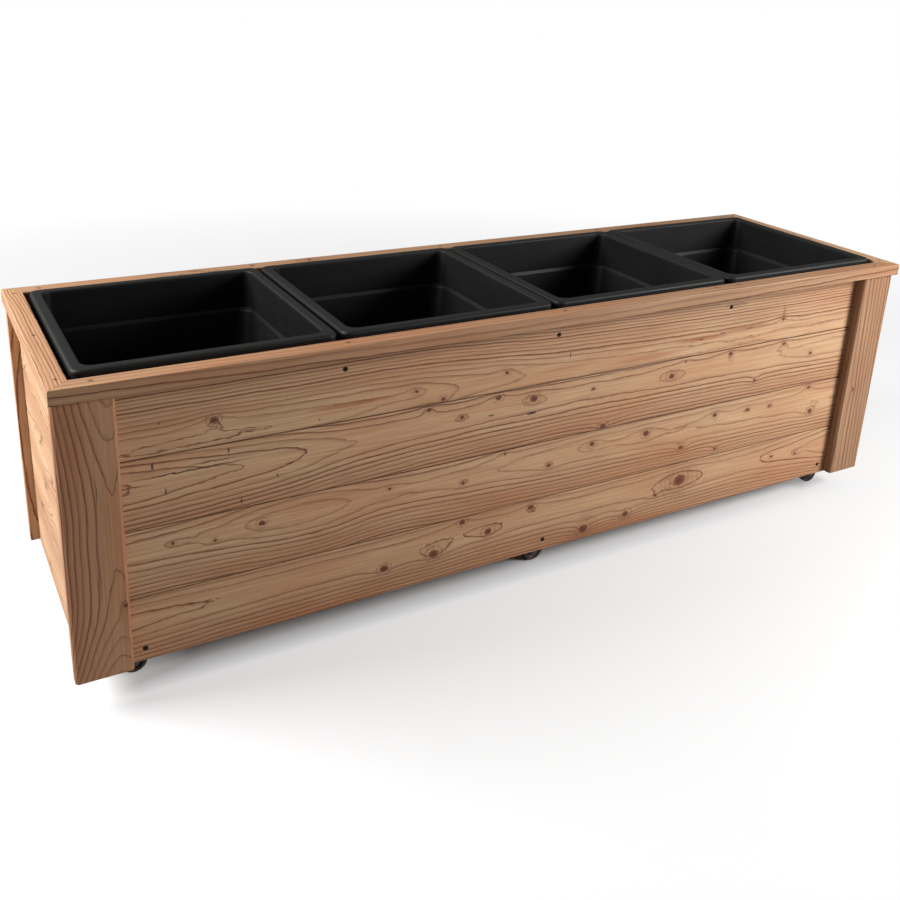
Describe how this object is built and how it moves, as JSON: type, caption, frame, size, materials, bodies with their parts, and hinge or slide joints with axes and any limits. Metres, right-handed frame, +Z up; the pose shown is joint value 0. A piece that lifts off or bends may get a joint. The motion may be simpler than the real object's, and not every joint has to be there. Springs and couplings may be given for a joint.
{
  "type": "indoor herb planter",
  "caption": "Long timber planter box with corner trims and a mitred cap, holding a row of square plastic pots, on small swivel castors.",
  "frame": {"origin": "on the floor below the middle of the box", "axes": "+X along the length to the right seen from the front, -Y towards the front, +Z up"},
  "size_m": [1.28, 0.366, 0.4043],
  "materials": {
    "larch_board": "planed, thin oil",
    "larch_trim": "planed, thin oil",
    "larch_cap": "planed, thin oil",
    "inner_timber": "sawn",
    "pot_plastic": "satin moulded",
    "wheel_plastic": "satin moulded",
    "castor_steel": "zinc plated",
    "screw_steel": "darkened"
  },
  "bodies": {
    "box": {"back_board_1": "larch_board", "back_board_2": "larch_board", "back_board_3": "larch_board", "back_board_4": "larch_board", "bearer_left": "inner_timber", "bearer_middle": "inner_timber", "bearer_right": "inner_timber", "board_screws": "screw_steel", "cap_back": "larch_cap", "cap_front": "larch_cap", "cap_left": "larch_cap", "cap_right": "larch_cap", "castor_kingpins": "castor_steel", "castor_plates": "castor_steel", "corner_strip_back_left": "inner_timber", "corner_strip_back_right": "inner_timber", "corner_strip_front_left": "inner_timber", "corner_strip_front_right": "inner_timber", "corner_trim_back_left": "larch_trim", "corner_trim_back_right": "larch_trim", "corner_trim_front_left": "larch_trim", "corner_trim_front_right": "larch_trim", "divider_rail_1": "inner_timber", "divider_rail_2": "inner_timber", "divider_rail_3": "inner_timber", "floor_slat_1": "inner_timber", "floor_slat_2": "inner_timber", "floor_slat_3": "inner_timber", "front_board_1": "larch_board", "front_board_2": "larch_board", "front_board_3": "larch_board", "front_board_4": "larch_board", "left_end_board_1": "larch_board", "left_end_board_2": "larch_board", "left_end_board_3": "larch_board", "left_end_board_4": "larch_board", "right_end_board_1": "larch_board", "right_end_board_2": "larch_board", "right_end_board_3": "larch_board", "right_end_board_4": "larch_board"},
    "pot_1": {"pot_1": "pot_plastic"},
    "pot_2": {"pot_2": "pot_plastic"},
    "pot_3": {"pot_3": "pot_plastic"},
    "pot_4": {"pot_4": "pot_plastic"},
    "castor_fork_front_left": {"castor_fork_front_left": "castor_steel"},
    "castor_wheel_front_left": {"castor_wheel_front_left": "wheel_plastic"},
    "castor_fork_front_middle": {"castor_fork_front_middle": "castor_steel"},
    "castor_wheel_front_middle": {"castor_wheel_front_middle": "wheel_plastic"},
    "castor_fork_front_right": {"castor_fork_front_right": "castor_steel"},
    "castor_wheel_front_right": {"castor_wheel_front_right": "wheel_plastic"},
    "castor_fork_back_left": {"castor_fork_back_left": "castor_steel"},
    "castor_wheel_back_left": {"castor_wheel_back_left": "wheel_plastic"},
    "castor_fork_back_middle": {"castor_fork_back_middle": "castor_steel"},
    "castor_wheel_back_middle": {"castor_wheel_back_middle": "wheel_plastic"},
    "castor_fork_back_right": {"castor_fork_back_right": "castor_steel"},
    "castor_wheel_back_right": {"castor_wheel_back_right": "wheel_plastic"}
  },
  "joints": [
    {"name": "pot_1_lift", "type": "slide", "parent": "box", "child": "pot_1", "axis": [0, 0, 1], "range_m": [0, 0.32]},
    {"name": "pot_2_lift", "type": "slide", "parent": "box", "child": "pot_2", "axis": [0, 0, 1], "range_m": [0, 0.32]},
    {"name": "pot_3_lift", "type": "slide", "parent": "box", "child": "pot_3", "axis": [0, 0, 1], "range_m": [0, 0.32]},
    {"name": "pot_4_lift", "type": "slide", "parent": "box", "child": "pot_4", "axis": [0, 0, 1], "range_m": [0, 0.32]},
    {"name": "castor_swivel_front_left", "type": "hinge", "parent": "box", "child": "castor_fork_front_left", "pos_m": [-0.573, -0.124, 0.0355], "axis": [0, 0, 1], "continuous": true},
    {"name": "castor_roll_front_left", "type": "hinge", "parent": "castor_fork_front_left", "child": "castor_wheel_front_left", "pos_m": [-0.565, -0.124, 0.016], "axis": [0, 1, 0], "continuous": true},
    {"name": "castor_swivel_front_middle", "type": "hinge", "parent": "box", "child": "castor_fork_front_middle", "pos_m": [0, -0.124, 0.0355], "axis": [0, 0, 1], "continuous": true},
    {"name": "castor_roll_front_middle", "type": "hinge", "parent": "castor_fork_front_middle", "child": "castor_wheel_front_middle", "pos_m": [0.008, -0.124, 0.016], "axis": [0, 1, 0], "continuous": true},
    {"name": "castor_swivel_front_right", "type": "hinge", "parent": "box", "child": "castor_fork_front_right", "pos_m": [0.573, -0.124, 0.0355], "axis": [0, 0, 1], "continuous": true},
    {"name": "castor_roll_front_right", "type": "hinge", "parent": "castor_fork_front_right", "child": "castor_wheel_front_right", "pos_m": [0.581, -0.124, 0.016], "axis": [0, 1, 0], "continuous": true},
    {"name": "castor_swivel_back_left", "type": "hinge", "parent": "box", "child": "castor_fork_back_left", "pos_m": [-0.573, 0.124, 0.0355], "axis": [0, 0, 1], "continuous": true},
    {"name": "castor_roll_back_left", "type": "hinge", "parent": "castor_fork_back_left", "child": "castor_wheel_back_left", "pos_m": [-0.565, 0.124, 0.016], "axis": [0, 1, 0], "continuous": true},
    {"name": "castor_swivel_back_middle", "type": "hinge", "parent": "box", "child": "castor_fork_back_middle", "pos_m": [0, 0.124, 0.0355], "axis": [0, 0, 1], "continuous": true},
    {"name": "castor_roll_back_middle", "type": "hinge", "parent": "castor_fork_back_middle", "child": "castor_wheel_back_middle", "pos_m": [0.008, 0.124, 0.016], "axis": [0, 1, 0], "continuous": true},
    {"name": "castor_swivel_back_right", "type": "hinge", "parent": "box", "child": "castor_fork_back_right", "pos_m": [0.573, 0.124, 0.0355], "axis": [0, 0, 1], "continuous": true},
    {"name": "castor_roll_back_right", "type": "hinge", "parent": "castor_fork_back_right", "child": "castor_wheel_back_right", "pos_m": [0.581, 0.124, 0.016], "axis": [0, 1, 0], "continuous": true}
  ]
}
